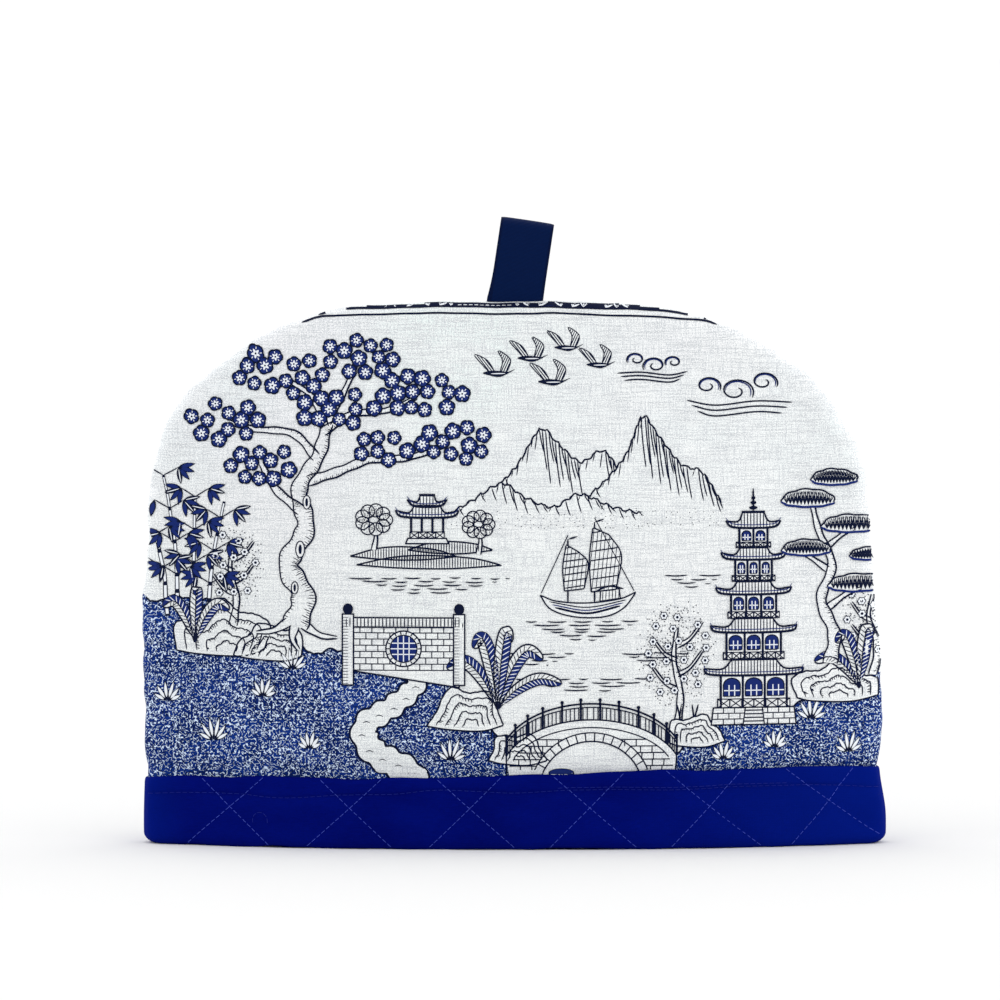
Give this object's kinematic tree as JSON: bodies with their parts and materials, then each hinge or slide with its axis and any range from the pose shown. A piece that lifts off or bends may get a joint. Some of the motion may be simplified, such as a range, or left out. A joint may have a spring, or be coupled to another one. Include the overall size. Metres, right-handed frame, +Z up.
{
  "type": "tea cosy",
  "caption": "Tea cosy standing open on its hem: printed cotton panels over a quilted lining turned up outside as a blue band, with a ribbon loop at the crown.",
  "frame": {"origin": "middle of the mouth, on the surface that the hem stands on", "axes": "+X along the hem to the right as seen from the front, -Y towards the front, +Z up"},
  "size_m": [0.3509, 0.0946, 0.2963],
  "materials": {
    "printed_cotton": "off-white slub cotton with a blue print",
    "quilted_cotton": "royal blue cotton, diamond quilted",
    "navy_ribbon": "navy ribbed ribbon"
  },
  "bodies": {
    "root": {"panel_front": "printed_cotton", "panel_back": "printed_cotton", "lining_front": "quilted_cotton", "lining_back": "quilted_cotton", "ribbon_loop": "navy_ribbon"}
  },
  "joints": []
}
